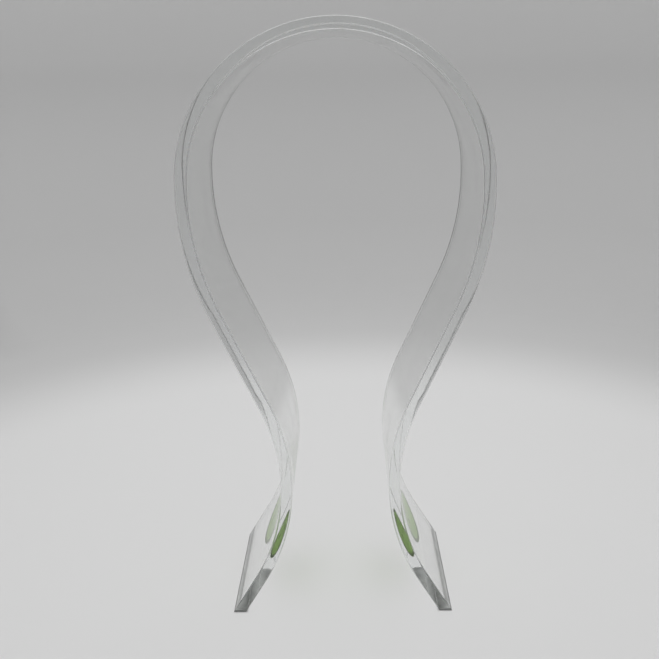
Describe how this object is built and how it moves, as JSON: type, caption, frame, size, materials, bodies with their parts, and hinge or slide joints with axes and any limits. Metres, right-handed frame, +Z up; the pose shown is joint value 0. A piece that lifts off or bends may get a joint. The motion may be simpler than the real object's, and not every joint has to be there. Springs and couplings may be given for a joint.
{
  "type": "headphone stand",
  "caption": "Clear acrylic strip heat bent into an open omega: a round arch carries a headband, the legs lean in to a waist and the feet flare out to stand on their cut ends.",
  "frame": {"origin": "on the table, under the middle of the strip and midway between the feet", "axes": "+Z up, the longest side; +X from the left foot to the right foot as seen from the front; +Y from the front edge of the strip to its back edge, the shortest side"},
  "size_m": [0.13, 0.07, 0.2638],
  "materials": {
    "clear_acrylic": "clear cast acrylic, polished faces and edges",
    "clear_silicone": "thin clear silicone, satin",
    "green_film": "see-through green vinyl film, plain"
  },
  "bodies": {
    "root": {"bent_band": "clear_acrylic", "left_foot_pad": "clear_silicone", "right_foot_pad": "clear_silicone", "left_foot_film": "green_film", "right_foot_film": "green_film"}
  },
  "joints": []
}
